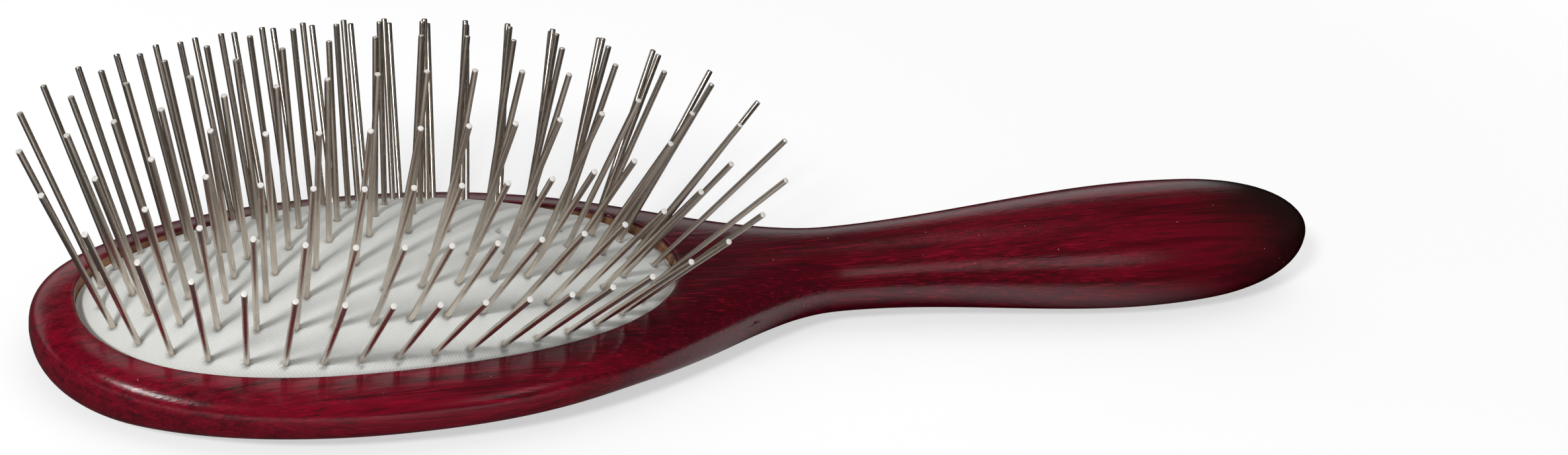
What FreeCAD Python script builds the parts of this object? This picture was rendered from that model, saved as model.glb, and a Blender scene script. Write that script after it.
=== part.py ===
import FreeCAD, Part
import math
import os

# Pin brush for pets: a lacquered wooden body with an oval recess in its head, a domed
# rubber cushion pad seated in that recess, and steel pins that fan out of the pad.
# Lengths are in millimetres. The body is drawn in the rim's own frame: X along the
# brush towards the handle, Z up out of the pad, origin at the middle of the opening
# and level with the rim. Everything is then laid down as the brush rests, on its back.

Vector = FreeCAD.Vector

# Wooden body, plan view
head_tip_length = 56.2
head_half_width = 29.7
head_tip_exponent = 2.15
shoulder_exponent = 2.3
shoulder_fall = 1.85
neck_place = 80.0
neck_half_width = 8.2
belly_place = 147.0
belly_half_width = 13.7
handle_end_place = 183.0
handle_end_exponent = 2.0

# Wooden body, side view
head_thickness = 12.5
neck_thickness = 13.7
belly_thickness = 20.1
neck_top = -0.3
belly_top = 2.0
thickening_start = 30.0
thickening_end = 58.0
head_nose_length = 14.0
head_nose_exponent = 2.5
head_nose_lift = 1.2
handle_nose_length = 26.0
handle_nose_exponent = 2.2
end_flat_inset = 0.05

# Wooden body, cross-section
head_section_exponent = 3.0
handle_section_exponent = 2.2
section_change_start = 40.0
section_change_end = 80.0
rest_flat_depth = 0.35

# Recess in the head
opening_half_length = 49.3
opening_half_width = 22.6
opening_exponent = 2.31
opening_egg = 0.033
ledge_depth = 3.0
ledge_width = 2.0
chamber_depth = 7.2

# Cushion pad
pad_side_clearance = 0.15
pad_crown_height = 8.6
pad_crown_fall = 8.7
pad_edge_height = -1.6
pad_shoulder_inset = 0.9
pad_shoulder_height = 0.1
pad_dome_inset = 2.4
pad_thickness = 1.2
pad_bead_width = 2.2
vent_radius = 1.0
vent_place = 18.2

# Pins
pin_length = 30.0
pin_radius = 0.5
pin_tail = 2.6
pin_sides = 6
pin_hole_clearance = 0.02
ring_names = ("inner", "second", "third", "outer")
ring_pin_counts = (21, 27, 33, 39)
ring_crowding = 0.9
ring_exponent = 2.25
pin_side_margin = 0.9
pin_end_margin = 3.0
centre_row_pitch = 6.4
centre_row_first = -23.4
centre_row_count = 8
lean_along = 0.34
lean_handle_end_splay = 1.6
lean_tip_end_splay = 0.35
lean_splay_power = 4.0
lean_across = 0.93
lean_across_ease = 0.1
lean_handle_end_gain = 0.13

# Fineness of the drawn forms
section_sides = 36
middle_spans = 14
end_station_shares = (0.0, 0.02, 0.08, 0.2, 0.4, 0.68)
oval_sides = 56
arc_steps = 2000
sew_tolerance = 0.001
dome_ring_shares = (1.0, 0.8, 0.58, 0.36)
dome_crown_share = 0.15
hollow_sides = 28
hollow_ring_shares = (1.0, 0.67, 0.4)

# Search for the rest pose
rest_sample_step = 0.5
rest_tilt_limit = 10.0
rest_tilt_halvings = 50


def smooth_step(value, start, end):
    """0 before start, 1 after end, and an S-curve between them."""
    share = min(max((value - start) / (end - start), 0.0), 1.0)
    return share * share * (3.0 - 2.0 * share)


def mix(first, second, share):
    return first + (second - first) * share


def unit_oval(turn, exponent):
    """Point of the superellipse of unit half axes in this direction from its middle."""
    across, up = math.cos(turn), math.sin(turn)
    reach = (abs(across) ** exponent + abs(up) ** exponent) ** (-1.0 / exponent)
    return reach * across, reach * up


def round_off(share, exponent):
    """Quarter of a superellipse: 1 at share 0, falling to 0 at share 1."""
    return max(1.0 - max(share, 0.0) ** exponent, 0.0) ** (1.0 / exponent)


def body_half_width(x):
    if x < 0.0:
        return head_half_width * round_off(-x / head_tip_length, head_tip_exponent)
    if x < neck_place:
        fall = (1.0 - (x / neck_place) ** shoulder_exponent) ** shoulder_fall
        return mix(neck_half_width, head_half_width, fall)
    swell = mix(neck_half_width, belly_half_width, smooth_step(x, neck_place, belly_place))
    end_share = (x - belly_place) / (handle_end_place - belly_place)
    return swell * round_off(end_share, handle_end_exponent)


def body_top_and_bottom(x):
    """Heights of the body's crest and underside, before its two ends are rounded."""
    thickening = smooth_step(x, thickening_start, thickening_end)
    swelling = smooth_step(x, neck_place, belly_place)
    thickness = mix(head_thickness, neck_thickness, thickening)
    thickness = mix(thickness, belly_thickness, swelling)
    top = mix(neck_top * thickening, belly_top, swelling)
    return top, top - thickness


def body_section(x):
    """Half width, half thickness, middle height and exponent of the section at x."""
    top, bottom = body_top_and_bottom(x)
    half_thickness = (top - bottom) / 2.0
    head_share = (-x - head_tip_length + head_nose_length) / head_nose_length
    handle_share = (x - handle_end_place + handle_nose_length) / handle_nose_length
    half_thickness *= round_off(head_share, head_nose_exponent)
    half_thickness *= round_off(handle_share, handle_nose_exponent)
    middle = (top + bottom) / 2.0 + head_nose_lift * max(head_share, 0.0) ** 2
    change = smooth_step(x, section_change_start, section_change_end)
    exponent = mix(head_section_exponent, handle_section_exponent, change)
    return body_half_width(x), half_thickness, middle, exponent


def faceted_solid(rings):
    """Solid with flat triangles between rings of corners, closed by a flat at each end."""
    faces = [Part.Face(Part.makePolygon(ring + ring[:1])) for ring in (rings[0], rings[-1])]
    for ring, next_ring in zip(rings, rings[1:]):
        for index in range(len(ring)):
            corner, beside = ring[index - 1], ring[index]
            above, above_beside = next_ring[index - 1], next_ring[index]
            for triangle in ((corner, beside, above_beside), (corner, above_beside, above)):
                faces.append(Part.Face(Part.makePolygon(list(triangle) + [corner])))
    skin = Part.makeCompound(faces)
    skin.sewShape(sew_tolerance)
    solid = Part.makeSolid(skin.Shells[0])
    if solid.Volume < 0.0:
        solid.reverse()
    return solid


def body_ring(x):
    """Corners of the body's many-sided section at x."""
    half_width, half_thickness, middle, exponent = body_section(x)
    corners = []
    for index in range(section_sides):
        y, z = unit_oval(2.0 * math.pi * index / section_sides, exponent)
        corners.append(Vector(x, half_width * y, middle + half_thickness * z))
    return corners


def body_stations():
    """Section places: close together at the two round ends, even between them."""
    first = -head_tip_length + end_flat_inset
    last = handle_end_place - end_flat_inset
    head_end = [first + share * head_nose_length for share in end_station_shares]
    handle_end = [last - share * handle_nose_length for share in end_station_shares]
    middle_start = first + head_nose_length
    middle_end = last - handle_nose_length
    middle = [mix(middle_start, middle_end, index / middle_spans) for index in range(middle_spans + 1)]
    return head_end + middle + handle_end[::-1]


def egg_points(half_length, half_width, exponent, sides):
    """Corners of a many-sided, slightly egg-shaped oval, wider towards the head's tip."""
    points = []
    for index in range(sides):
        x, y = unit_oval(2.0 * math.pi * index / sides, exponent)
        x *= half_length
        y *= half_width * (1.0 - opening_egg * x / opening_half_length)
        points.append((x, y))
    return points


def opening_ring(half_length, half_width, z, sides):
    points = egg_points(half_length, half_width, opening_exponent, sides)
    return [Vector(x, y, z) for x, y in points]


def oval_prism(half_length, half_width, low, high):
    ring = opening_ring(half_length, half_width, low, oval_sides)
    face = Part.Face(Part.makePolygon(ring + ring[:1]))
    return face.extrude(Vector(0.0, 0.0, high - low))


def wooden_body():
    blank = faceted_solid([body_ring(x) for x in body_stations()])
    recess_top = head_thickness
    recess = oval_prism(opening_half_length, opening_half_width, -ledge_depth, recess_top)
    chamber = oval_prism(
        opening_half_length - ledge_width,
        opening_half_width - ledge_width,
        -chamber_depth,
        recess_top,
    )
    return blank.cut(recess).cut(chamber)


def pad_height(x, y):
    """Height of the pad's top surface over the point (x, y)."""
    along = x / opening_half_length
    across = y / opening_half_width
    return pad_crown_height - pad_crown_fall * (along ** 2 + across ** 2)


def dome_rings(half_length, half_width, shares, lowering, sides):
    """Rings of the dome from its edge inwards, closed by a small level ring at the crown."""
    rings = []
    for share in shares:
        exponent = mix(2.0, opening_exponent, share)
        points = egg_points(share * half_length, share * half_width, exponent, sides)
        rings.append([Vector(x, y, pad_height(x, y) - lowering) for x, y in points])
    crown_length = dome_crown_share * half_length
    crown_height = pad_height(crown_length, 0.0) - lowering
    points = egg_points(crown_length, dome_crown_share * half_width, 2.0, sides)
    rings.append([Vector(x, y, crown_height) for x, y in points])
    return rings


def pin_direction(x, y):
    """Unit vector of a pin: the fan leans out lengthwise and crosswise from the middle."""
    along = x / opening_half_length
    across = y / opening_half_width
    splay = lean_handle_end_splay if along > 0.0 else lean_tip_end_splay
    lean_x = lean_along * along * (1.0 + splay * abs(along) ** lean_splay_power)
    lean_y = lean_across + lean_handle_end_gain * along - lean_across_ease * across ** 2
    direction = Vector(lean_x, lean_y * across, 1.0)
    direction.normalize()
    return direction


def ring_places(ring):
    """Foot places of one ring of pins, evenly spaced along its oval from the head's tip."""
    count = ring_pin_counts[ring]
    ring_share = ((ring + 1) / len(ring_names)) ** ring_crowding
    outer_half_width = opening_half_width - pin_side_margin
    outer_half_length = opening_half_length - pin_end_margin
    half_width = outer_half_width * ring_share
    half_length = half_width + outer_half_length - outer_half_width
    oval = []
    for index in range(arc_steps + 1):
        turn = 2.0 * math.pi * index / arc_steps
        x, y = unit_oval(turn, ring_exponent)
        oval.append((-half_length * x, -half_width * y))
    lengths = [0.0]
    for (x0, y0), (x1, y1) in zip(oval, oval[1:]):
        lengths.append(lengths[-1] + math.hypot(x1 - x0, y1 - y0))
    places = []
    step = 0
    for index in range(count):
        target = lengths[-1] * index / count
        while lengths[step + 1] < target:
            step += 1
        share = (target - lengths[step]) / (lengths[step + 1] - lengths[step])
        x = mix(oval[step][0], oval[step + 1][0], share)
        y = mix(oval[step][1], oval[step + 1][1], share)
        places.append((x, y))
    return places


def centre_row_places():
    return [(centre_row_first + centre_row_pitch * index, 0.0) for index in range(centre_row_count)]


def pin_rod(x, y, radius):
    """Straight many-sided rod through the pad at (x, y), from its hidden tail to its tip."""
    direction = pin_direction(x, y)
    side = direction.cross(Vector(0.0, 1.0, 0.0))
    side.normalize()
    other = direction.cross(side)
    start = Vector(x, y, pad_height(x, y)) - direction * pin_tail
    corners = []
    for index in range(pin_sides + 1):
        turn = 2.0 * math.pi * (index % pin_sides) / pin_sides
        corners.append(start + side * (radius * math.cos(turn)) + other * (radius * math.sin(turn)))
    section = Part.Face(Part.makePolygon(corners))
    return section.extrude(direction * (pin_tail + pin_length))


def cushion_pad(pin_places):
    length = opening_half_length - pad_side_clearance
    width = opening_half_width - pad_side_clearance
    inset = pad_shoulder_inset
    outside = [
        opening_ring(length, width, -ledge_depth, oval_sides),
        opening_ring(length, width, pad_edge_height, oval_sides),
        opening_ring(length - inset, width - inset, pad_shoulder_height, oval_sides),
    ]
    inset = pad_dome_inset
    outside += dome_rings(length - inset, width - inset, dome_ring_shares, 0.0, oval_sides)
    length -= pad_bead_width
    width -= pad_bead_width
    inside = [opening_ring(length, width, -ledge_depth, hollow_sides)]
    inside += dome_rings(length, width, hollow_ring_shares, pad_thickness, hollow_sides)
    holes = [pin_rod(x, y, pin_radius + pin_hole_clearance) for x, y in pin_places]
    holes.append(Part.makeCylinder(vent_radius, pad_crown_height, Vector(vent_place, 0.0, 0.0)))
    shell = faceted_solid(outside).cut(faceted_solid(inside))
    return shell.cut(Part.makeCompound(holes))


def lowest_point(start, end, angle):
    """Lowest height of the body between two places along it, once turned by this angle."""
    heights = []
    for index in range(1, int((end - start) / rest_sample_step)):
        x = start + rest_sample_step * index
        _, half_thickness, middle, _ = body_section(x)
        heights.append((middle - half_thickness) * math.cos(angle) + x * math.sin(angle))
    return min(heights)


def rest_tilt():
    """Angle about Y that levels the head's back with the handle's belly, and their height."""
    low_angle = math.radians(-rest_tilt_limit)
    high_angle = math.radians(rest_tilt_limit)
    for _ in range(rest_tilt_halvings):
        angle = (low_angle + high_angle) / 2.0
        head_low = lowest_point(-head_tip_length, neck_place, angle)
        handle_low = lowest_point(neck_place, handle_end_place, angle)
        if handle_low < head_low:
            low_angle = angle
        else:
            high_angle = angle
    return math.degrees(angle), head_low


def lay_down(shape, tilt, lowest):
    """The shape turned to its rest pose, its flats on the table plane Z = 0."""
    turned = shape.copy()
    turned.rotate(Vector(0.0, 0.0, 0.0), Vector(0.0, 1.0, 0.0), -tilt)
    turned.translate(Vector(0.0, 0.0, -lowest - rest_flat_depth))
    return turned


def trim_to_table(shape):
    """Cuts away the little that lies under the table plane, which leaves the rest flats."""
    span = handle_end_place + head_tip_length
    below = Part.makeBox(2.0 * span, span, span, Vector(-span, -span / 2.0, -span))
    return shape.cut(below)


def main():
    pin_groups = {"pins_centre_row": centre_row_places()}
    for ring, name in enumerate(ring_names):
        pin_groups["pins_" + name + "_ring"] = ring_places(ring)
    all_places = [place for places in pin_groups.values() for place in places]

    nodes = {"wooden_body": wooden_body(), "cushion_pad": cushion_pad(all_places)}
    for name, places in pin_groups.items():
        nodes[name] = Part.makeCompound([pin_rod(x, y, pin_radius) for x, y in places])

    tilt, lowest = rest_tilt()
    placed = {name: lay_down(shape, tilt, lowest) for name, shape in nodes.items()}
    placed["wooden_body"] = trim_to_table(placed["wooden_body"])
    box = Part.makeCompound(list(placed.values())).BoundBox
    os.makedirs("parts", exist_ok=True)
    for name, shape in placed.items():
        shape.translate(Vector(-(box.XMin + box.XMax) / 2.0, 0.0, 0.0))
        shape.exportStep(os.path.join("parts", name + ".step"))


main()
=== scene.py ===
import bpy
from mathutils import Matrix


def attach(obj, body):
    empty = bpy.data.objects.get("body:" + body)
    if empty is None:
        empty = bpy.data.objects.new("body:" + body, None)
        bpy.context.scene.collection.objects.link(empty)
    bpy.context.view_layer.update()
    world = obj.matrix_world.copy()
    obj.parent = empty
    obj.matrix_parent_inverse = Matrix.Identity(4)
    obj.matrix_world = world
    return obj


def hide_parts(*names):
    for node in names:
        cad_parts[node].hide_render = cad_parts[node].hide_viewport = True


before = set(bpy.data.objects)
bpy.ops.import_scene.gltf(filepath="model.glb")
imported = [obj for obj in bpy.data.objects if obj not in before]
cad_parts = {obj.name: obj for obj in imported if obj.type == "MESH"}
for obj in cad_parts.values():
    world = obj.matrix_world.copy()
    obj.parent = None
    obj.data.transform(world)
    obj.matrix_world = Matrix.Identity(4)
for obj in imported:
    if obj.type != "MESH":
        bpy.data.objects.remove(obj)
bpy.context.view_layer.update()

import math

import bmesh
import bpy
import numpy as np
from mathutils import Matrix, Vector

bl_info = {
    "name": "Pin Brush",
    "version": (1, 0, 0),
    "blender": (4, 5, 0),
    "location": "3D View > Sidebar > Pin Brush",
    "description": "Builds a lacquered wooden pin brush with its cushion pad and steel pins",
    "category": "Add Mesh",
}

metre = 0.001
quarter_turn = 0.5 * math.pi
full_turn = 2.0 * math.pi

# Rest pose: from the rim's own frame, in millimetres, to the row frame
rest_tilt = math.radians(1.71508)
rest_lift = 13.42914
rest_shift = -62.12575

# The brush's lengths are in millimetres in the rim's own frame: X runs from the middle
# of the recess to the handle's end, and Z rises from the rim

# Wooden body, plan view
head_tip_length = 56.15
head_half_width = 29.7
head_tip_exponent = 2.15
shoulder_exponent = 2.3
shoulder_fall = 1.85
neck_place = 80.0
neck_half_width = 8.2
belly_place = 147.0
belly_half_width = 13.7
handle_end_place = 182.95
handle_end_exponent = 2.0

# Wooden body, side view and section
head_thickness = 12.5
neck_thickness = 13.7
belly_thickness = 20.1
neck_top = -0.3
belly_top = 2.0
thickening = (30.0, 58.0)
head_nose_length = 14.0
head_nose_exponent = 2.5
head_nose_lift = 1.2
handle_nose_length = 26.0
handle_nose_exponent = 2.2
section_exponents = (3.0, 2.2)
section_change = (40.0, 80.0)
head_patch_end = 60.0

# Recess in the head
opening_half_length = 49.3
opening_half_width = 22.6
opening_exponent = 2.31
opening_egg = 0.033
ledge_depth = 3.0
ledge_width = 2.0
chamber_depth = 7.2

# Cushion pad
pad_clearance = 0.15
pad_crown_height = 8.6
pad_crown_fall = 8.7
pad_face_fall = (11.0, 8.9)
pad_face_lowest = -2.85
pad_edge_drop = 1.0
pad_edge_round = 2.0
pad_edge_power = 2.0
dimple_width = 0.9

# Vent in the pad and its round dish, whose wall and crescent of shadow are shares of its
# radius. The tilt is a share from the high to the deep side
vent_place = 18.2
vent_depth = 0.5
vent_edge = (-0.15, 0.2)
dish_place = 19.6
dish_radius = 2.05
dish_depth = 0.8
dish_deep_side = (-0.75, -0.66)
dish_wall = (0.86, 1.0)
crescent_place = 0.93
crescent_width = 0.09
crescent_tilt = (0.6, 0.95)

# Painted shade: a dark ring in the pad round each pin, and how dark the ring and the vent are
# painted
hole_ring_place = 0.5
hole_ring_width = 0.22
hole_ring_shade = 0.8
vent_shade = 0.2

# Pins
ring_names = ("inner", "second", "third", "outer")
ring_pin_counts = (21, 27, 33, 39)
ring_crowding = 0.9
ring_exponent = 2.25
pin_side_margin = 0.9
pin_end_margin = 3.0
centre_row_pitch = 6.4
centre_row_first = -23.4
centre_row_count = 8
pin_tail = 2.6
lean_along = 0.34
lean_handle_end_splay = 1.6
lean_tip_end_splay = 0.35
lean_splay_power = 4.0
lean_across = 0.93
lean_across_ease = 0.1
lean_handle_end_gain = 0.13
# Eased end of a pin: distance before the end, share of the wire's radius, tip value, which places
# the painted highlight on the end
pin_end = (
    (0.4, 1.0, 0.0),
    (0.15, 1.0, 0.7),
    (0.04, 0.9, 1.0),
    (0.0, 0.65, 1.0),
    (0.0, 0.0, 1.0),
)

# Steps of surfaces and searches
tip_points = 49
shoulder_points = 29
handle_points = 41
rim_points = 6
wall_points = 9
pad_points_round = 480
pad_points_inward = 140
arc_steps = 2000
crossing_steps = 8
merge_distance = 2e-6

# Noises: features per metre along X, Y and Z
streak_scale = (18.0, 700.0, 700.0)
pore_scale = (70.0, 3600.0, 3600.0)
ripple_scale = (420.0, 600.0, 600.0)
patch_scale = (30.0, 75.0, 75.0)
cloud_scale = (60.0, 60.0, 60.0)
tarnish_scale = (90.0, 90.0, 90.0)
dust_scale = 420.0
dust_least = 0.8
dust_size = 0.04

# Grain's height for bump: shares of the streaks, pores and ripple
height_shares = (0.35, 0.3, 0.35)
grain_bump = 0.00006
coat_bump = 0.00009
bare_wood_bump = 0.0001
weave_bump = 0.000018

# Lacquer: low and high end of a reading, then what they become. Places are in metres
crimson_streaks = (0.28, 0.62)
burgundy_patches = (0.47, 0.68, 0.0, 0.75)
shoulder_darkening = (-0.05, -0.01, 0.0, 0.8)
neck_clearing = (0.01, 0.045, 0.0, 0.4)
# Painted shade: the flanks turn darker towards the bottom
flank_painted_shade = (0.003, 0.0115, 0.6, 0.0)
end_smoking = (0.112, 0.143, 0.0, 0.95)
end_wander = 0.03
end_slope = 0.8
dark_pores = (0.54, 0.72, 0.0, 0.75)
light_flecks = (0.28, 0.46, 0.5, 0.0)
fleck_ending = (0.09, 0.13, 1.0, 0.0)
fleck_gain = 1.9
lacquer_roughness = (0.3, 0.7, 0.4, 0.56)
coat_roughness = 0.18
lacquer_dust_colour = (0.6, 0.5, 0.5)
lacquer_dust_share = 0.5

# Bare wood of the recess, in the same way
bare_streaks = (0.35, 0.7)
bare_shadow = 0.45
varnish_ending = (0.5, 0.8)
varnish_raggedness = 0.8
bare_wood_roughness = (0.3, 0.7, 0.55, 0.75)

# Pad rubber, in the same way
weave_tones = (-0.9, 0.9, 0.25, 1.0)
pad_clouds = (0.35, 0.7, 0.0, 0.35)
pad_dimming = 0.82
# Tone of the painted shade in the pin holes, the vent and the dish's crescent
pad_painted_shade_tone = 0.32
pad_roughness = (0.3, 0.7, 0.6, 0.75)
pad_sheen = 0.15
pad_dust_colour = (0.3, 0.3, 0.3)
pad_dust_share = 0.25

# Steel, in the same way
dull_patches = (0.4, 0.7)
dull_tone = 0.75
steel_roughness = (0.3, 0.7, 0.22, 0.3)
# Painted highlight on the pins' ends: where it is strongest across Y, its colour, and how much
# metal it leaves
painted_glint_sides = (-0.01, 0.02, 1.0, 0.2)
painted_glint_colour = (0.75, 0.72, 0.69)
tip_metal = (0.0, 1.0, 1.0, 0.25)

# The photograph's camera, in the rim's own frame
photo_width = 2372
photo_height = 688
focal_pixels = 3500.0
sensor_width = 36.0
axis_pixel = (1182.41, 339.99)
camera_azimuth = -0.505
camera_elevation = 0.5689
camera_roll = -0.203
camera_offset = (63.4647, 8.3224, 375.3626)
camera_reach = (0.01, 20.0)

# Floor and lamps, in metres in the row frame
floor_half_size = 3.0
floor_colour = (0.92, 0.92, 0.92, 1.0)
floor_roughness = 0.9
floor_fade = (0.1, 0.36, 0.55, 1.0)
white = (1.0, 1.0, 1.0, 1.0)
key_place = (-0.8, -0.62, 0.8)
key_size = 0.17
glint_size = 0.16
top_place = (0.15, 0.0, 1.2)
top_size = 0.9

# Studio flags that only reflections show: a dome in metres and degrees
flag_radius = 1.7
flag_elevations = (0.0, 90.0)
flag_points_round = 64
flag_points_up = 25
flag_dark = 0.02
flag_turn_edge = 6.0
flag_x_edge = 0.1
# Bands: lowest and highest turn about X from the back, lowest and highest x, paleness
flag_bands = (
    (-5.0, 26.0, -2.0, 1.1, 0.65),
    (55.0, 76.0, -0.45, 0.6, 1.2),
    (36.0, 54.0, 0.12, 0.42, 1.1),
    (130.0, 154.0, 0.5, 0.8, 1.2),
)
# Flag on the floor, dark except in front of the X axis. Before the head it turns pale
# from one distance to the other. Before the handle it is pale between the two
floor_flag_height = 0.0004
head_floor_fade = (0.03, 0.07, 0.05, 0.7)
head_floor_span = (-0.03, 0.01, 1.0, 0.0)
handle_floor_reach = (0.014, 0.034, 0.006)
handle_floor_span = (-0.01, 0.08, 0.03)
handle_floor_pale = 0.9


# Shapes, worked out as whole arrays

def smooth_step(value, start, end):
    """0 before start, 1 after end, and the cubic S-curve 3 s^2 - 2 s^3 between them."""
    share = np.clip((value - start) / (end - start), 0.0, 1.0)
    return share * share * (3.0 - 2.0 * share)


def mix(first, second, share):
    """Straight blend: first + (second - first) share."""
    return first + (second - first) * share


def bell(value, middle, width):
    """Bell curve exp(-((value - middle) / width)^2)."""
    return np.exp(-((value - middle) / width) ** 2)


def unit_oval(turn, exponent):
    """Point of the superellipse |a|^n + |b|^n = 1 in this direction from its middle."""
    across, up = np.cos(turn), np.sin(turn)
    reach = (np.abs(across) ** exponent + np.abs(up) ** exponent) ** (-1.0 / exponent)
    return reach * across, reach * up


def round_off(share, exponent):
    """Quarter superellipse (1 - share^n)^(1/n): 1 at share 0, falling to 0 at share 1."""
    share = np.clip(share, 0.0, 1.0)
    return (1.0 - share ** exponent) ** (1.0 / exponent)


def half_width_at(x):
    """Half width: a superellipse at the head's tip, a power curve over the shoulder to
    the neck, an S-curve to the belly and a quarter ellipse at the handle's end."""
    tip = head_half_width * round_off(-x / head_tip_length, head_tip_exponent)
    reach = np.clip(x / neck_place, 0.0, 1.0)
    fall = (1.0 - reach ** shoulder_exponent) ** shoulder_fall
    shoulder = mix(neck_half_width, head_half_width, fall)
    swell = mix(neck_half_width, belly_half_width, smooth_step(x, neck_place, belly_place))
    end_share = (x - belly_place) / (handle_end_place - belly_place)
    handle = swell * round_off(end_share, handle_end_exponent)
    return np.where(x < 0.0, tip, np.where(x < neck_place, shoulder, handle))


def section_at(x):
    """Half width, half thickness, middle height and exponent of the section at x: the
    crest and underside follow S-curves and the two noses are rounded off."""
    thick = smooth_step(x, *thickening)
    swell = smooth_step(x, neck_place, belly_place)
    thickness = mix(mix(head_thickness, neck_thickness, thick), belly_thickness, swell)
    top = mix(neck_top * thick, belly_top, swell)
    head_share = (-x - head_tip_length + head_nose_length) / head_nose_length
    handle_share = (x - handle_end_place + handle_nose_length) / handle_nose_length
    half_thickness = thickness / 2.0
    half_thickness = half_thickness * round_off(head_share, head_nose_exponent)
    half_thickness = half_thickness * round_off(handle_share, handle_nose_exponent)
    middle = top - thickness / 2.0 + head_nose_lift * np.clip(head_share, 0.0, None) ** 2
    exponent = mix(*section_exponents, smooth_step(x, *section_change))
    return half_width_at(x), half_thickness, middle, exponent


def skin_point(x, turn):
    """Point of the body's skin: the section's superellipse at x, in the direction turn."""
    half_width, half_thickness, middle, exponent = section_at(x)
    y, z = unit_oval(turn, exponent)
    return np.stack([x + 0.0 * y, half_width * y, middle + half_thickness * z], axis=-1)


def skin_top(x, y):
    """Height of the body's upper skin over (x, y): middle + h (1 - |y / w|^n)^(1/n)."""
    half_width, half_thickness, middle, exponent = section_at(x)
    share = np.abs(y) / np.maximum(half_width, 1e-9)
    return middle + half_thickness * round_off(share, exponent)


def egg_oval(turn, grow, exponent):
    """Plan of the recess: a superellipse, grown outwards by grow and a little egg-shaped."""
    x, y = unit_oval(turn, exponent)
    x = x * (opening_half_length + grow)
    y = y * (opening_half_width + grow) * (1.0 - opening_egg * x / opening_half_length)
    return x, y


def pad_dome(x, y):
    """Height of the pad's dome: the paraboloid crown - fall ((x / a)^2 + (y / b)^2)."""
    along = x / opening_half_length
    across = y / opening_half_width
    return pad_crown_height - pad_crown_fall * (along ** 2 + across ** 2)


def pad_face(x, y):
    """Height of the pad's visible face: crown - p (x / a)^2 - q (y / b)^2, with its two
    ends lower than the dome's."""
    along = x / opening_half_length
    across = y / opening_half_width
    return pad_crown_height - pad_face_fall[0] * along ** 2 - pad_face_fall[1] * across ** 2


def ring_places(ring):
    """Feet of one ring of pins: points at equal arc length round a superellipse."""
    share = ((ring + 1) / len(ring_names)) ** ring_crowding
    outer_half_width = opening_half_width - pin_side_margin
    half_width = outer_half_width * share
    half_length = half_width + opening_half_length - pin_end_margin - outer_half_width
    x, y = unit_oval(np.linspace(0.0, full_turn, arc_steps + 1), ring_exponent)
    oval = np.stack([-half_length * x, -half_width * y], axis=-1)
    steps = np.linalg.norm(np.diff(oval, axis=0), axis=1)
    lengths = np.concatenate([[0.0], np.cumsum(steps)])
    targets = lengths[-1] * np.arange(ring_pin_counts[ring]) / ring_pin_counts[ring]
    return np.stack([np.interp(targets, lengths, oval[:, k]) for k in (0, 1)], axis=-1)


def pin_groups():
    """Node name to the array of feet of that group of pins."""
    row = centre_row_first + centre_row_pitch * np.arange(centre_row_count)
    groups = {"pins_centre_row": np.stack([row, np.zeros_like(row)], axis=-1)}
    for ring, name in enumerate(ring_names):
        groups["pins_" + name + "_ring"] = ring_places(ring)
    return groups


def pin_directions(places):
    """Unit vectors of the pins: the lean grows with the distance from the pad's middle."""
    along = places[:, 0] / opening_half_length
    across = places[:, 1] / opening_half_width
    splay = np.where(along > 0.0, lean_handle_end_splay, lean_tip_end_splay)
    lean_x = lean_along * along * (1.0 + splay * np.abs(along) ** lean_splay_power)
    lean_y = (lean_across + lean_handle_end_gain * along - lean_across_ease * across ** 2) * across
    directions = np.stack([lean_x, lean_y, np.ones_like(along)], axis=-1)
    return directions / np.linalg.norm(directions, axis=1, keepdims=True)


def pin_feet(places):
    """Points of the pins' feet: their places in plan, raised on to the pad's dome."""
    return np.column_stack([places, pad_dome(places[:, 0], places[:, 1])])


def pad_crossings(places):
    """Places where the pins' axes cross the pad's face, closed in on step by step: each
    step slides down the axis by the height that is left, divided by the axis's rise."""
    points = pin_feet(places)
    directions = pin_directions(places)
    for _ in range(crossing_steps):
        left = pad_face(points[:, 0], points[:, 1]) - points[:, 2]
        points = points + (left / directions[:, 2])[:, None] * directions
    return points[:, :2]


def to_row(points):
    """Rim frame in millimetres to the row frame in metres: the rest tilt about Y, then
    the lift on to the table and the shift to the middle of the brush's length."""
    x, y, z = points[..., 0], points[..., 1], points[..., 2]
    tilted_x = x * math.cos(rest_tilt) - z * math.sin(rest_tilt) + rest_shift
    tilted_z = x * math.sin(rest_tilt) + z * math.cos(rest_tilt) + rest_lift
    return np.stack([tilted_x, y, tilted_z], axis=-1) * metre


def gathered(row):
    """The row's points gathered on the Z axis at their own height, to close a surface."""
    return row * np.array([0.0, 0.0, 1.0])


def grid_quads(rows, columns, closed, first):
    """Quads between neighbouring points of a grid whose points are numbered from first."""
    span = columns if closed else columns - 1
    row, column = np.meshgrid(np.arange(rows - 1), np.arange(span), indexing="ij")
    beside = (column + 1) % columns
    corners = [row * columns + column, row * columns + beside]
    corners += [(row + 1) * columns + beside, (row + 1) * columns + column]
    return first + np.stack(corners, axis=-1).reshape(-1, 4)


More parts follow.
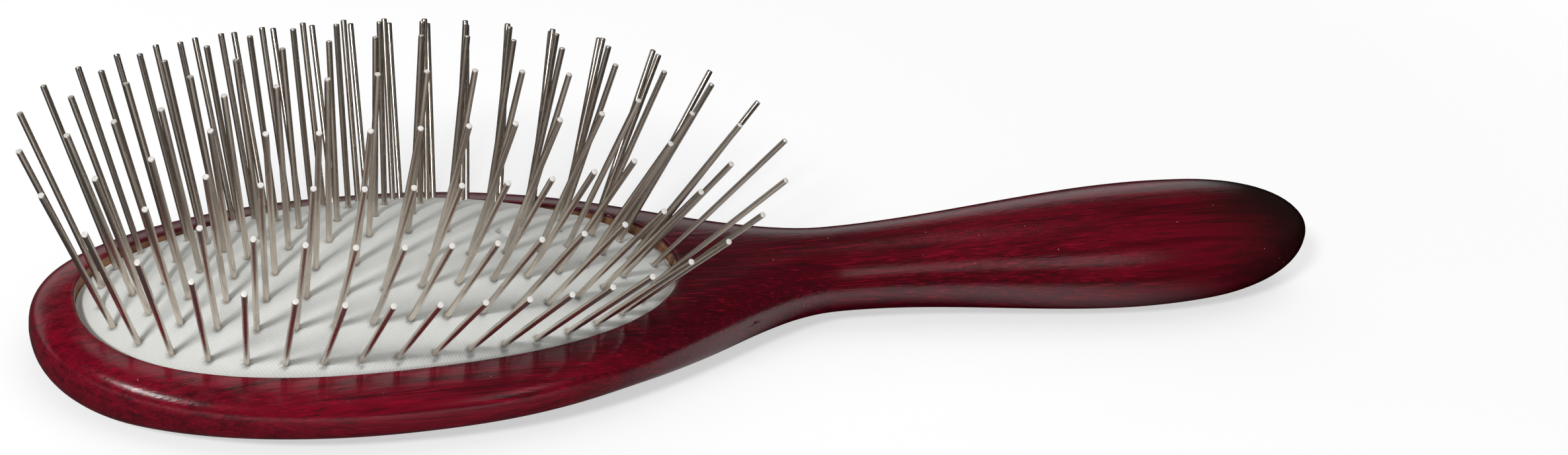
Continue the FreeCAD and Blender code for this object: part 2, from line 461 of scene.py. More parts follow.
def make_piece(name, patches, materials, sharp_angle):
    """Mesh object from patches of (grid of points in metres, closed round, material
    number, value per point): the grids are laid out as quads and their shared edges
    and poles are merged, and the faces are turned outwards."""
    points, quads, slots, values, first = [], [], [], [], 0
    for grid, closed, slot, value in patches:
        rows, columns = grid.shape[:2]
        patch_quads = grid_quads(rows, columns, closed, first)
        points.append(grid.reshape(-1, 3))
        quads.append(patch_quads)
        slots.append(np.full(len(patch_quads), slot, np.int32))
        values.append(np.broadcast_to(value, (rows, columns)).ravel())
        first += rows * columns
    mesh = bpy.data.meshes.new(name)
    mesh.from_pydata(np.concatenate(points), [], np.concatenate(quads).tolist())
    mesh.polygons.foreach_set("material_index", np.concatenate(slots))
    mesh.polygons.foreach_set("use_smooth", np.ones(len(mesh.polygons), bool))
    mask = mesh.attributes.new("mask", "FLOAT", "POINT")
    mask.data.foreach_set("value", np.concatenate(values).astype(np.float32))
    work = bmesh.new()
    work.from_mesh(mesh)
    bmesh.ops.remove_doubles(work, verts=work.verts, dist=merge_distance)
    bmesh.ops.recalc_face_normals(work, faces=work.faces)
    work.to_mesh(mesh)
    work.free()
    mesh.set_sharp_from_angle(angle=math.radians(sharp_angle))
    for material in materials:
        mesh.materials.append(material)
    piece = bpy.data.objects.new(name, mesh)
    bpy.context.scene.collection.objects.link(piece)
    return piece


# Nodes for the materials

def node_group(name, inputs, outputs):
    """Shader node group with float or vector inputs and float outputs."""
    group = bpy.data.node_groups.new(name, "ShaderNodeTree")
    for label, kind in inputs.items():
        group.interface.new_socket(label, in_out="INPUT", socket_type=kind)
    for label in outputs:
        group.interface.new_socket(label, in_out="OUTPUT", socket_type="NodeSocketFloat")
    return group, group.nodes.new("NodeGroupInput"), group.nodes.new("NodeGroupOutput")


def stretched_noise(tree, vector, scale, detail, roughness=0.55):
    """Noise on coordinates scaled per axis, in features per metre."""
    mapping = tree.nodes.new("ShaderNodeMapping")
    mapping.inputs["Scale"].default_value = scale
    noise = tree.nodes.new("ShaderNodeTexNoise")
    for label, number in {"Scale": 1.0, "Detail": detail, "Roughness": roughness}.items():
        noise.inputs[label].default_value = number
    tree.links.new(vector, mapping.inputs["Vector"])
    tree.links.new(mapping.outputs["Vector"], noise.inputs["Vector"])
    return noise.outputs["Fac"]


def remap(tree, value, low, high, new_low=0.0, new_high=1.0):
    """new_low up to low, new_high from high on, and an S-curve between them."""
    node = tree.nodes.new("ShaderNodeMapRange")
    node.interpolation_type = "SMOOTHSTEP"
    ends = {"From Min": low, "From Max": high, "To Min": new_low, "To Max": new_high}
    for label, end in ends.items():
        node.inputs[label].default_value = end
    tree.links.new(value, node.inputs["Value"])
    return node.outputs["Result"]


def maths(tree, operation, first, second=None):
    """One Math node on sockets or plain numbers."""
    node = tree.nodes.new("ShaderNodeMath")
    node.operation = operation
    for socket, value in zip(node.inputs, (first, second)):
        if value is None:
            continue
        if isinstance(value, (int, float)):
            socket.default_value = value
        else:
            tree.links.new(value, socket)
    return node.outputs["Value"]


def product(tree, first, second):
    return maths(tree, "MULTIPLY", first, second)


def total(tree, first, second):
    return maths(tree, "ADD", first, second)


def soft_window(tree, value, low, high, edge):
    """1 between low and high and 0 outside them, with S-curves edge wide to each side."""
    rise = remap(tree, value, low - edge, low + edge)
    fall = remap(tree, value, high - edge, high + edge, 1.0, 0.0)
    return product(tree, rise, fall)


def blend_colour(tree, share, first, second):
    """First colour where share is 0, second where it is 1."""
    node = tree.nodes.new("ShaderNodeMix")
    node.data_type = "RGBA"
    sockets = [socket for socket in node.inputs if socket.type == "RGBA"]
    for socket, value in zip(sockets, (first, second)):
        if isinstance(value, tuple):
            socket.default_value = (*value, 1.0)
        else:
            tree.links.new(value, socket)
    tree.links.new(share, node.inputs["Factor"])
    return next(socket for socket in node.outputs if socket.type == "RGBA")


def toned(colour, gain):
    """The colour with each part times gain."""
    return tuple(gain * part for part in colour)


def parts_of(tree, coordinates):
    """The X, Y and Z of the coordinates."""
    node = tree.nodes.new("ShaderNodeSeparateXYZ")
    tree.links.new(coordinates, node.inputs["Vector"])
    return node.outputs


def bump(tree, height, distance):
    """Normal of a surface raised by height times distance, in metres."""
    node = tree.nodes.new("ShaderNodeBump")
    node.inputs["Distance"].default_value = distance
    tree.links.new(height, node.inputs["Height"])
    return node.outputs["Normal"]


def mask_value(tree):
    """The mesh's own value per point."""
    node = tree.nodes.new("ShaderNodeAttribute")
    node.attribute_name = "mask"
    return node.outputs["Fac"]


def grain_noises(tree, vector):
    """Noises drawn out along X: broad streaks, fine pores, and the sum of both with a
    finer ripple as a height for bump."""
    streaks = stretched_noise(tree, vector, streak_scale, 5.0, 0.62)
    pores = stretched_noise(tree, vector, pore_scale, 3.0)
    ripple = stretched_noise(tree, vector, ripple_scale, 2.0)
    parts = [product(tree, *pair) for pair in zip((streaks, pores, ripple), height_shares)]
    return streaks, pores, total(tree, total(tree, parts[0], parts[1]), parts[2])


def grain_group(name):
    """Straight grain along X: broad streaks, fine pores, patches and a height for bump."""
    labels = ("Streaks", "Pores", "Patches", "Height")
    group, given, put = node_group(name, {"Vector": "NodeSocketVector"}, labels)
    vector = given.outputs["Vector"]
    streaks, pores, height = grain_noises(group, vector)
    patches = stretched_noise(group, vector, patch_scale, 4.0)
    for label, value in zip(labels, (streaks, pores, patches, height)):
        group.links.new(value, put.inputs[label])
    return group


def dust_group(name):
    """Tiny specks: cells whose centre lies near the surface, kept for a few of them."""
    inputs = {"Vector": "NodeSocketVector", "Size": "NodeSocketFloat"}
    group, given, put = node_group(name, inputs, ("Specks",))
    cells = group.nodes.new("ShaderNodeTexVoronoi")
    cells.inputs["Scale"].default_value = dust_scale
    group.links.new(given.outputs["Vector"], cells.inputs["Vector"])
    split = group.nodes.new("ShaderNodeSeparateColor")
    group.links.new(cells.outputs["Color"], split.inputs["Color"])
    chosen = maths(group, "GREATER_THAN", split.outputs["Red"], dust_least)
    near = maths(group, "LESS_THAN", cells.outputs["Distance"], given.outputs["Size"])
    group.links.new(product(group, chosen, near), put.inputs["Specks"])
    return group


def use_group(tree, name, build, coordinates):
    """Puts a shared group into the tree. The first material that asks for it builds it."""
    node = tree.nodes.new("ShaderNodeGroup")
    node.node_tree = bpy.data.node_groups.get(name) or build(name)
    tree.links.new(coordinates, node.inputs["Vector"])
    return node


def dust_reading(tree, coordinates, size):
    """1 on the shared dust's specks of this size and 0 elsewhere."""
    node = use_group(tree, "dust specks", dust_group, coordinates)
    node.inputs["Size"].default_value = size
    return node.outputs["Specks"]


# Materials

def start_material(name):
    """New material with its node tree, its shader and the object's own coordinates."""
    material = bpy.data.materials.new(name)
    material.use_nodes = True
    tree = material.node_tree
    shader = tree.nodes["Principled BSDF"]
    coordinates = tree.nodes.new("ShaderNodeTexCoord").outputs["Object"]
    return material, tree, shader, coordinates


def feed(tree, shader, colour, roughness, normal):
    """Links three values that vary over the surface to the shader."""
    tree.links.new(colour, shader.inputs["Base Color"])
    tree.links.new(roughness, shader.inputs["Roughness"])
    tree.links.new(normal, shader.inputs["Normal"])


def lacquer_material(colours):
    """Crimson varnish over straight grain, nearly black towards the handle's end, with painted
    shade low on the flanks.
    """
    material, tree, shader, coordinates = start_material("crimson lacquer")
    seen = use_group(tree, "straight grain", grain_group, coordinates).outputs
    place = parts_of(tree, coordinates)
    crimson = tuple(colours.lacquer_crimson)
    burgundy = tuple(colours.lacquer_burgundy)
    umber = tuple(colours.lacquer_umber)

    # Streaks and patches, darker over the shoulder, with painted shade that darkens the flanks
    # towards the bottom
    colour = blend_colour(tree, remap(tree, seen["Streaks"], *crimson_streaks), burgundy, crimson)
    colour = blend_colour(tree, remap(tree, seen["Patches"], *burgundy_patches), colour, burgundy)
    shoulder = remap(tree, place["X"], *shoulder_darkening)
    neck = remap(tree, place["X"], *neck_clearing)
    colour = blend_colour(tree, maths(tree, "SUBTRACT", shoulder, neck), colour, burgundy)
    # Painted shade: the flanks turn burgundy towards the bottom
    colour = blend_colour(tree, remap(tree, place["Z"], *flank_painted_shade), colour, burgundy)

    # Smoked end, whose border wanders with the patches and slopes back towards the top
    border = total(tree, place["X"], product(tree, seen["Patches"], end_wander))
    border = total(tree, border, product(tree, place["Z"], end_slope))
    colour = blend_colour(tree, remap(tree, border, *end_smoking), colour, umber)

    # Dark pores, lighter flecks except at the smoked end, and dust
    colour = blend_colour(tree, remap(tree, seen["Pores"], *dark_pores), colour, umber)
    flecks = remap(tree, seen["Pores"], *light_flecks)
    flecks = product(tree, flecks, remap(tree, border, *fleck_ending))
    colour = blend_colour(tree, flecks, colour, toned(crimson, fleck_gain))
    specks = product(tree, dust_reading(tree, coordinates, dust_size), lacquer_dust_share)
    colour = blend_colour(tree, specks, colour, lacquer_dust_colour)

    roughness = remap(tree, seen["Height"], *lacquer_roughness)
    feed(tree, shader, colour, roughness, bump(tree, seen["Height"], grain_bump))
    shader.inputs["Specular IOR Level"].default_value = 0.0
    shader.inputs["Coat Weight"].default_value = 1.0
    shader.inputs["Coat Roughness"].default_value = coat_roughness
    coat_height = grain_noises(tree, coordinates)[2]
    tree.links.new(bump(tree, coat_height, coat_bump), shader.inputs["Coat Normal"])
    return material


def raw_wood_material(colours):
    """Bare wood of the recess wall, with varnish run over its upper edge: the mask is the
    depth below the rim in millimetres."""
    material, tree, shader, coordinates = start_material("bare recess wood")
    seen = use_group(tree, "straight grain", grain_group, coordinates).outputs
    bare = tuple(colours.bare_wood)
    streaks = remap(tree, seen["Streaks"], *bare_streaks)
    wood = blend_colour(tree, streaks, toned(bare, bare_shadow), bare)
    ragged = total(tree, mask_value(tree), product(tree, seen["Streaks"], varnish_raggedness))
    varnish = tuple(colours.lacquer_burgundy)
    colour = blend_colour(tree, remap(tree, ragged, *varnish_ending), varnish, wood)
    roughness = remap(tree, seen["Height"], *bare_wood_roughness)
    feed(tree, shader, colour, roughness, bump(tree, seen["Height"], bare_wood_bump))
    return material


def pad_material(colours):
    """Pale rubber with a woven face, the product of two sines along X and Y. The mask paints shade:
    dark rings round the pin holes, a dark vent and a crescent of shadow in the vent's dish."""
    material, tree, shader, coordinates = start_material("woven pad rubber")
    place = parts_of(tree, coordinates)
    turns = full_turn / colours.weave_pitch
    ribs = maths(tree, "SINE", product(tree, place["X"], turns))
    wefts = maths(tree, "SINE", product(tree, place["Y"], turns))
    weave = product(tree, ribs, wefts)
    cloud = stretched_noise(tree, coordinates, cloud_scale, 3.0)
    pale = tuple(colours.pad_grey)
    dim = toned(pale, pad_dimming)
    colour = blend_colour(tree, remap(tree, weave, *weave_tones), dim, pale)
    colour = blend_colour(tree, remap(tree, cloud, *pad_clouds), colour, dim)
    # Painted shade: the mask darkens the pin holes, the vent and the dish's crescent
    colour = blend_colour(tree, mask_value(tree), colour, toned(pale, pad_painted_shade_tone))
    specks = product(tree, dust_reading(tree, coordinates, dust_size), pad_dust_share)
    colour = blend_colour(tree, specks, colour, pad_dust_colour)
    feed(tree, shader, colour, remap(tree, cloud, *pad_roughness), bump(tree, weave, weave_bump))
    shader.inputs["Sheen Weight"].default_value = pad_sheen
    return material


def steel_material(colours):
    """Drawn steel wire: smooth warm grey metal, a little duller in places, with a painted highlight
    on the ends, which turn pale and less metallic, most of all at the brush's -Y side."""
    material, tree, shader, coordinates = start_material("polished steel wire")
    tarnish = stretched_noise(tree, coordinates, tarnish_scale, 2.0)
    steel = tuple(colours.pin_steel)
    colour = blend_colour(tree, remap(tree, tarnish, *dull_patches), steel, toned(steel, dull_tone))
    # Painted highlight: the ends turn pale and less metallic, most of all at the -Y side
    side = remap(tree, parts_of(tree, coordinates)["Y"], *painted_glint_sides)
    tip = product(tree, mask_value(tree), side)
    colour = blend_colour(tree, tip, colour, painted_glint_colour)
    tree.links.new(colour, shader.inputs["Base Color"])
    tree.links.new(remap(tree, tarnish, *steel_roughness), shader.inputs["Roughness"])
    tree.links.new(remap(tree, tip, *tip_metal), shader.inputs["Metallic"])
    return material


# What a user may change: name, description, default, least and most

def colour_property(name, description, default):
    return bpy.props.FloatVectorProperty(
        name=name, description=description, default=default,
        subtype="COLOR", size=3, min=0.0, max=1.0,
    )


def length_property(name, description, default, least, most):
    return bpy.props.FloatProperty(
        name=name, description=description, default=default, min=least, max=most, unit="LENGTH",
    )


def power_property(name, description, default):
    return bpy.props.FloatProperty(
        name=name, description=description, default=default, min=0.0, unit="POWER",
    )


def count_property(name, description, default, least, most):
    return bpy.props.IntProperty(
        name=name, description=description, default=default, min=least, max=most,
    )


class FinishSettings(bpy.types.PropertyGroup):
    lacquer_crimson: colour_property("Crimson", "Brightest varnish", (0.145, 0.001, 0.01))
    lacquer_burgundy: colour_property("Burgundy", "Darker red of the streaks", (0.04, 0.001, 0.004))
    lacquer_umber: colour_property("Umber", "Pores and handle end", (0.01, 0.004, 0.003))
    bare_wood: colour_property("Bare wood", "Wood of the recess wall", (0.42, 0.2, 0.1))
    pad_grey: colour_property("Pad", "Face of the cushion pad", (0.6, 0.61, 0.585))
    pin_steel: colour_property("Steel", "Steel of the pins", (0.7, 0.62, 0.54))
    weave_pitch: length_property(
        "Weave pitch", "Length of one repeat of the pad's weave", 0.00055, 0.0002, 0.01)


class BodySettings(bpy.types.PropertyGroup):
    rim_round: length_property(
        "Rim rounding", "Radius of the rim's inner edge", 0.0005, 0.0001, 0.002)
    rows: count_property("Rows", "Rows of faces round half of the body", 36, 12, 80)


class PadSettings(bpy.types.PropertyGroup):
    dimple_depth: length_property(
        "Dimple depth", "How far the pad dips round each pin", 0.00015, 0.0, 0.001)
    vent_radius: length_property("Vent radius", "Radius of the pad's vent", 0.001, 0.0003, 0.003)


class PinSettings(bpy.types.PropertyGroup):
    length: length_property("Pin length", "Length of a pin above the pad", 0.03, 0.01, 0.06)
    radius: length_property("Pin radius", "Radius of the steel wire", 0.00049, 0.0001, 0.002)
    sides: count_property("Sides", "Faces round one pin", 12, 6, 16)


class StageSettings(bpy.types.PropertyGroup):
    key_power: power_property("Key power", "Power of the softbox at the head's side", 12.5)
    glint_power: power_property("Glint power", "Power of the key softbox as gloss shows it", 10.0)
    top_power: power_property("Top power", "Power of the softbox overhead", 3.2)
    sky: bpy.props.FloatProperty(
        name="Surroundings", description="Strength of the even light from all around",
        default=0.46, min=0.0,
    )


# Builders, one for each piece

class BRUSH_OT_wooden_body(bpy.types.Operator):
    """Builds the lacquered wooden body with its recess"""
    bl_idname = "pin_brush.wooden_body"
    bl_label = "Wooden body"

    def execute(self, context):
        settings = context.scene.brush_body
        finish = context.scene.brush_finish
        rim = settings.rim_round / metre
        half = math.pi * np.linspace(0.0, 1.0, settings.rows + 1)

        # Places along the body: they crowd as a cosine and a sine towards its two ends
        quarter = quarter_turn * np.linspace(0.0, 1.0, tip_points)
        tip = -head_tip_length * np.cos(quarter)
        shoulder = np.linspace(0.0, head_patch_end, shoulder_points)[1:]
        handle = np.linspace(head_patch_end, belly_place, handle_points)
        end = belly_place + (handle_end_place - belly_place) * np.sin(quarter[1::2])
        head_places = np.concatenate([tip, shoulder])
        handle_places = np.concatenate([handle, end, [handle_end_place]])
        places = np.concatenate([head_places, handle_places[1:]])

        # Underside of the whole body and upper side of the handle: skin_point over a grid
        underside = skin_point(places[:, None], -half[None, :])
        handle_top = skin_point(handle_places[:, None], half[None, :])

        # Upper side of the head: straight lines in plan from the recess's rim to the
        # outline, with rows that crowd as 1 - (1 - s)^3 where the skin turns down
        chord = skin_point(np.array([head_patch_end]), half[::-1])
        side = skin_point(head_places[::-1][1:], np.zeros(1))
        other_side = side[::-1][1:] * np.array([1.0, -1.0, 1.0])
        outline = np.concatenate([chord, side, other_side])
        turn = np.arctan2(outline[:, 1] / head_half_width, outline[:, 0] / head_patch_end)
        rim_x, rim_y = egg_oval(turn, rim, opening_exponent)
        share = (1.0 - (1.0 - np.linspace(0.0, 1.0, settings.rows + 1)) ** 3)[:, None]
        top_x = mix(rim_x, outline[:, 0], share)
        top_y = mix(rim_y, outline[:, 1], share)
        head_top = np.stack([top_x, top_y, skin_top(top_x, top_y)], axis=-1)
        head_top[-1] = outline

        # Recess: a quarter-round rim edge, the wall, the ledge, the chamber and its floor,
        # each row given by how far it is grown outwards and by its height
        rim_height = head_top[0, :, 2]
        level = np.ones_like(rim_height)
        arc = quarter_turn * np.linspace(0.0, 1.0, rim_points)[:, None]
        wall = np.linspace(0.0, 1.0, wall_points)[1:, None]
        inside = np.full((2, 1), -ledge_width)
        grow = np.concatenate([rim * (1.0 - np.sin(arc)), 0.0 * wall, inside])
        height = np.concatenate([
            rim_height - rim * (1.0 - np.cos(arc)),
            mix(rim_height - rim, -ledge_depth, wall),
            [-ledge_depth * level, -chamber_depth * level],
        ])
        recess = np.stack([*egg_oval(turn, grow, opening_exponent), height], axis=-1)
        recess = np.concatenate([recess, gathered(recess[-1:])])
        depths = rim_height - recess[..., 2]

        wall_first = rim_points - 1
        patches = []
        for grid, closed, slot, value in (
            (underside, False, 0, 0.0),
            (handle_top, False, 0, 0.0),
            (head_top, True, 0, 0.0),
            (recess[:rim_points], True, 0, 0.0),
            (recess[wall_first:], True, 1, depths[wall_first:]),
        ):
            placed = to_row(grid)
            placed[..., 2] = np.maximum(placed[..., 2], 0.0)
            patches.append((placed, closed, slot, value))
        materials = [lacquer_material(finish), raw_wood_material(finish)]
        piece = make_piece("wooden_body_finish", patches, materials, sharp_angle=50.0)
        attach(piece, "root")
        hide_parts("wooden_body")
        return {"FINISHED"}


class BRUSH_OT_cushion_pad(bpy.types.Operator):
    """Builds the domed cushion pad with a dimple round each pin and a small vent"""
    bl_idname = "pin_brush.cushion_pad"
    bl_label = "Cushion pad"

    def execute(self, context):
        settings = context.scene.brush_pad
        turn = np.linspace(0.0, full_turn, pad_points_round, endpoint=False)[None, :]
        inward = np.linspace(0.0, 1.0, pad_points_inward)[:, None]
        exponent = mix(opening_exponent, 2.0, inward)
        edge_x, edge_y = egg_oval(turn, -pad_clearance, exponent)
        x, y = edge_x * (1.0 - inward), edge_y * (1.0 - inward)

        # Height: the face, lowered at its edge by drop (1 - inset / round)^power
        inset = np.hypot(edge_x - x, edge_y - y)
        pull = np.clip(1.0 - inset / pad_edge_round, 0.0, 1.0) ** pad_edge_power
        z = np.maximum(pad_face(x, y) - pad_edge_drop * pull, pad_face_lowest)

        # Bell-shaped dimple round each pin
        feet = np.concatenate([pad_crossings(places) for places in pin_groups().values()])
        nearest = np.hypot(x[..., None] - feet[:, 0], y[..., None] - feet[:, 1]).min(axis=-1)
        z = z - settings.dimple_depth / metre * bell(nearest, 0.0, dimple_width)

        # Vent, and the round dish over it with its floor tilted down to the deep side
        vent_radius = settings.vent_radius / metre
        vent_distance = np.hypot(x - vent_place, y)
        vent_inner, vent_outer = vent_radius + vent_edge[0], vent_radius + vent_edge[1]
        vent = 1.0 - smooth_step(vent_distance, vent_inner, vent_outer)
        dish_x, dish_y = (x - dish_place) / dish_radius, y / dish_radius
        dish_distance = np.hypot(dish_x, dish_y)
        dish = 1.0 - smooth_step(dish_distance, *dish_wall)
        deeper = dish_deep_side[0] * dish_x + dish_deep_side[1] * dish_y
        tilt = np.clip(0.5 + 0.5 * deeper, 0.0, 1.0)
        z = z - dish_depth * dish * tilt - vent_depth * vent

        # Mask of painted shade: dark rings round the pins, the dark vent and a painted shadow in a
        # crescent under the dish's wall
        crescent = bell(dish_distance, crescent_place, crescent_width)
        crescent = crescent * smooth_step(tilt, *crescent_tilt)
        rings = bell(nearest, hole_ring_place, hole_ring_width)
        mask = np.clip(hole_ring_shade * rings + vent_shade * vent + crescent, 0.0, 1.0)

        # Face, then the side down to the ledge and the underside closed in the middle
        top = np.stack([x, y, z], axis=-1)
        low = np.stack([edge_x[0], edge_y[0], np.full(pad_points_round, -ledge_depth)], axis=-1)
        side = np.stack([top[0], low, gathered(low)])
        patches = [(to_row(top), True, 0, mask), (to_row(side), True, 0, 0.0)]
        materials = [pad_material(context.scene.brush_finish)]
        piece = make_piece("cushion_pad_face", patches, materials, sharp_angle=60.0)
        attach(piece, "root")
        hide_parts("cushion_pad")
        return {"FINISHED"}


class BRUSH_OT_steel_pins(bpy.types.Operator):
    """Builds the middle row and the four rings of steel pins"""
    bl_idname = "pin_brush.steel_pins"
    bl_label = "Steel pins"

    def execute(self, context):
        settings = context.scene.brush_pins
        length, radius = settings.length / metre, settings.radius / metre
        turn = np.linspace(0.0, full_turn, settings.sides, endpoint=False)[:, None]

        # Profile along a pin: distance from the foot, share of the wire's radius, tip value, which
        # places the painted highlight on the end
        profile = [(-pin_tail, 0.0, 0.0), (-pin_tail, 1.0, 0.0)]
        profile += [(length - before, share, tip) for before, share, tip in pin_end]
        profile = np.array(profile)

        material = steel_material(context.scene.brush_finish)
        for name, places in pin_groups().items():
            # Circles about each pin's axis, set along it and widened by the profile
            directions = pin_directions(places)
            side = np.cross(directions, np.array([0.0, 1.0, 0.0]))
            side /= np.linalg.norm(side, axis=1, keepdims=True)
            other = np.cross(directions, side)
            circles = side[:, None, :] * np.cos(turn) + other[:, None, :] * np.sin(turn)
            axes = pin_feet(places)[:, None, :] + profile[:, :1] * directions[:, None, :]
            wide = radius * profile[:, 1, None, None]
            grids = axes[:, :, None, :] + wide * circles[:, None, :, :]
            patches = [(to_row(grid), True, 0, profile[:, 2:]) for grid in grids]
            piece = make_piece(name + "_wire", patches, [material], sharp_angle=45.0)
            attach(piece, "root")
            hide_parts(name)
        return {"FINISHED"}


class BRUSH_OT_stage(bpy.types.Operator):
    """Sets the pale floor, the soft lamps, the surroundings and the camera"""
    bl_idname = "pin_brush.stage"
    bl_label = "Stage"

    def execute(self, context):
        settings = context.scene.brush_stage
        self.make_floor()
        self.make_flags()
        self.make_world(context, settings.sky)
        key = self.make_lamp("key_softbox", key_place, key_size, settings.key_power)
        glint = self.make_lamp("glint_softbox", key_place, glint_size, settings.glint_power)
        top = self.make_lamp("top_softbox", top_place, top_size, settings.top_power)
        key.visible_glossy = False
        glint.visible_diffuse = False
        top.visible_glossy = False
        self.make_camera(context)
        context.scene.view_settings.view_transform = "Standard"
        return {"FINISHED"}

    def background_rays(self, tree):
        """1 for the rays that show a background: camera, mirror and glass rays."""
        path = tree.nodes.new("ShaderNodeLightPath")
        seen = maths(tree, "MAXIMUM", path.outputs["Is Camera Ray"], path.outputs["Is Glossy Ray"])
        return maths(tree, "MAXIMUM", seen, path.outputs["Is Transmission Ray"])

    def make_floor(self):
        """Flat square at the table plane, plain pale. It fades to white away from the
        brush, for the rays that show a background."""
        edge = np.array([-floor_half_size, floor_half_size])
        x, y = np.meshgrid(edge, edge)
        grid = np.stack([x, y, 0.0 * x], axis=-1)
        material, tree, shader, coordinates = start_material("pale floor")
        shader.inputs["Base Color"].default_value = floor_colour
        shader.inputs["Roughness"].default_value = floor_roughness
        glow = tree.nodes.new("ShaderNodeEmission")
        distance = tree.nodes.new("ShaderNodeVectorMath")
        distance.operation = "LENGTH"
        tree.links.new(coordinates, distance.inputs[0])
        far = remap(tree, distance.outputs["Value"], *floor_fade)
        blend = tree.nodes.new("ShaderNodeMixShader")
        tree.links.new(product(tree, far, self.background_rays(tree)), blend.inputs["Fac"])
        tree.links.new(shader.outputs["BSDF"], blend.inputs[1])
        tree.links.new(glow.outputs["Emission"], blend.inputs[2])
        tree.links.new(blend.outputs["Shader"], tree.nodes["Material Output"].inputs["Surface"])
        floor = make_piece("floor", [(grid, False, 0, 0.0)], [material], sharp_angle=30.0)

    def make_flags(self):
        """Flags seen only in reflections: the dome r (cos e cos t, cos e sin t, sin e) over
        all turns t and elevations e, with soft pale bands, and a disc over the floor."""
        turn = np.linspace(0.0, full_turn, flag_points_round, endpoint=False)[None, :]
        elevation = np.radians(np.linspace(*flag_elevations, flag_points_up))[:, None]
        flat = flag_radius * np.cos(elevation)
        height = flag_radius * np.sin(elevation) + 0.0 * turn
        dome = np.stack([flat * np.cos(turn), flat * np.sin(turn), height], axis=-1)
        edge = dome[0] * np.array([1.0, 1.0, 0.0]) + np.array([0.0, 0.0, floor_flag_height])
        disc = np.stack([edge, gathered(edge)])
        material = self.flag_material()
        patches = [(dome, True, 0, 0.0), (disc, True, 0, 0.0)]
        flags = make_piece("studio_flags", patches, [material], sharp_angle=30.0)
        flags.visible_camera = False
        flags.visible_diffuse = False
        flags.visible_transmission = False
        flags.visible_shadow = False

    def flag_material(self):
        """Glow of the flags: the dome's bands above, and the pale parts of the disc on the
        floor in front of the head and of the handle."""
        material, tree, shader, coordinates = start_material("studio flag")
        place = parts_of(tree, coordinates)
        turned = maths(tree, "ARCTAN2", place["Z"], place["Y"])
        turned = product(tree, turned, math.degrees(1.0))
        dome_glow = flag_dark
        for low_turn, high_turn, low_x, high_x, pale in flag_bands:
            band = soft_window(tree, turned, low_turn, high_turn, flag_turn_edge)
            span = soft_window(tree, place["X"], low_x, high_x, flag_x_edge)
            dome_glow = total(tree, product(tree, product(tree, band, span), pale), dome_glow)

        before = product(tree, place["Y"], -1.0)
        head_glow = remap(tree, before, *head_floor_fade)
        head_span = remap(tree, place["X"], *head_floor_span)
        handle_glow = soft_window(tree, before, *handle_floor_reach)
        handle_glow = product(tree, handle_glow, handle_floor_pale)
        handle_span = soft_window(tree, place["X"], *handle_floor_span)
        disc_glow = total(tree, product(tree, head_glow, head_span),
                          product(tree, handle_glow, handle_span))

        on_disc = maths(tree, "LESS_THAN", place["Z"], 2.0 * floor_flag_height)
        on_dome = maths(tree, "SUBTRACT", 1.0, on_disc)
        glow = total(tree, product(tree, dome_glow, on_dome), product(tree, disc_glow, on_disc))
        light = tree.nodes.new("ShaderNodeEmission")
        tree.links.new(glow, light.inputs["Strength"])
        tree.links.new(light.outputs["Emission"], tree.nodes["Material Output"].inputs["Surface"])
        tree.nodes.remove(shader)
        return material

    def make_world(self, context, strength):
        """Even light from all around. The rays that show a background see plain white."""
        world = bpy.data.worlds.new("white surroundings")
        world.use_nodes = True
        tree = world.node_tree
        lit = tree.nodes["Background"]
        lit.inputs["Color"].default_value = white
        lit.inputs["Strength"].default_value = strength
        seen = tree.nodes.new("ShaderNodeBackground")
        seen.inputs["Color"].default_value = white
        blend = tree.nodes.new("ShaderNodeMixShader")
        tree.links.new(self.background_rays(tree), blend.inputs["Fac"])
        tree.links.new(lit.outputs["Background"], blend.inputs[1])
        tree.links.new(seen.outputs["Background"], blend.inputs[2])
        tree.links.new(blend.outputs["Shader"], tree.nodes["World Output"].inputs["Surface"])
        context.scene.world = world

    def make_lamp(self, name, place, size, power):
        """Square softbox that faces the frame's origin."""
        lamp = bpy.data.lights.new(name, "AREA")
        lamp.shape = "SQUARE"
        lamp.size = size
        lamp.energy = power
        holder = bpy.data.objects.new(name, lamp)
        holder.location = place
        holder.rotation_mode = "QUATERNION"
        holder.rotation_quaternion = Vector(place).to_track_quat("Z", "Y")
        bpy.context.scene.collection.objects.link(holder)
        return holder

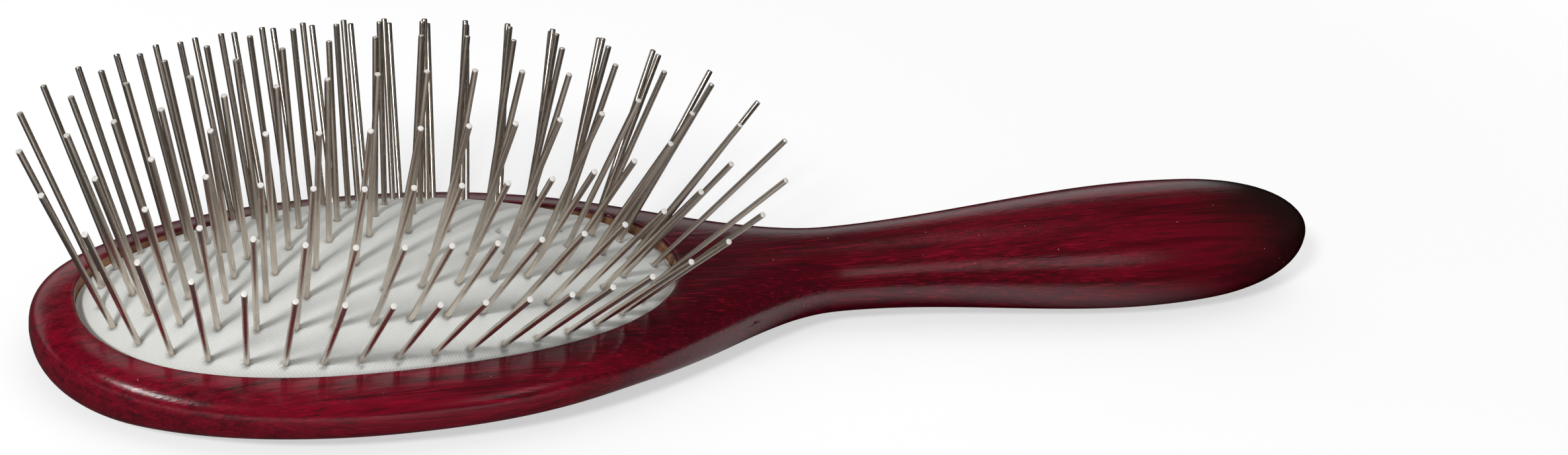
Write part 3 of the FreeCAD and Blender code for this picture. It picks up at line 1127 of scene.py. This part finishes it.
    def make_camera(self, context):
        """Camera of the photograph: azimuth, elevation and roll about the rim's frame,
        then the same rest tilt, lift and shift as the brush."""
        sin_a, cos_a = math.sin(camera_azimuth), math.cos(camera_azimuth)
        sin_e, cos_e = math.sin(camera_elevation), math.cos(camera_elevation)
        sin_r, cos_r = math.sin(camera_roll), math.cos(camera_roll)
        back = np.array([sin_a * cos_e, -cos_a * cos_e, sin_e])
        level = np.array([cos_a, sin_a, 0.0])
        upright = np.cross(back, level)
        axes = np.stack([cos_r * level - sin_r * upright, sin_r * level + cos_r * upright, back])
        turned = to_row(axes) - to_row(np.zeros(3))
        turned /= np.linalg.norm(turned, axis=1, keepdims=True)
        matrix = np.identity(4)
        matrix[:3, :3] = turned.T
        matrix[:3, 3] = to_row(axes.T @ np.array(camera_offset))
        data = bpy.data.cameras.new("photograph_camera")
        data.sensor_fit = "HORIZONTAL"
        data.sensor_width = sensor_width
        data.lens = focal_pixels * sensor_width / photo_width
        data.shift_x = (photo_width / 2.0 - axis_pixel[0]) / photo_width
        data.shift_y = (axis_pixel[1] - photo_height / 2.0) / photo_width
        data.clip_start, data.clip_end = camera_reach
        camera = bpy.data.objects.new("photograph_camera", data)
        camera.matrix_world = Matrix(matrix.tolist())
        context.scene.collection.objects.link(camera)
        context.scene.camera = camera


class BRUSH_PT_panel(bpy.types.Panel):
    """Lists the sizes, finishes and builders of the pin brush"""
    bl_idname = "BRUSH_PT_panel"
    bl_label = "Pin Brush"
    bl_space_type = "VIEW_3D"
    bl_region_type = "UI"
    bl_category = "Pin Brush"

    def draw(self, context):
        layout = self.layout
        for name in settings_groups:
            group = getattr(context.scene, name)
            box = layout.box()
            for key in group.__annotations__:
                box.prop(group, key)
        for operator in operators:
            layout.operator(operator.bl_idname)


settings_groups = {
    "brush_finish": FinishSettings,
    "brush_body": BodySettings,
    "brush_pad": PadSettings,
    "brush_pins": PinSettings,
    "brush_stage": StageSettings,
}
operators = (BRUSH_OT_wooden_body, BRUSH_OT_cushion_pad, BRUSH_OT_steel_pins, BRUSH_OT_stage)
classes = (*settings_groups.values(), *operators, BRUSH_PT_panel)


def register():
    for cls in classes:
        bpy.utils.register_class(cls)
    for name, group in settings_groups.items():
        setattr(bpy.types.Scene, name, bpy.props.PointerProperty(type=group))


def unregister():
    for name in settings_groups:
        delattr(bpy.types.Scene, name)
    for cls in reversed(classes):
        bpy.utils.unregister_class(cls)


def main():
    register()
    bpy.ops.pin_brush.stage()
    bpy.ops.pin_brush.wooden_body()
    bpy.ops.pin_brush.cushion_pad()
    bpy.ops.pin_brush.steel_pins()


if __name__ == "__main__":
    main()
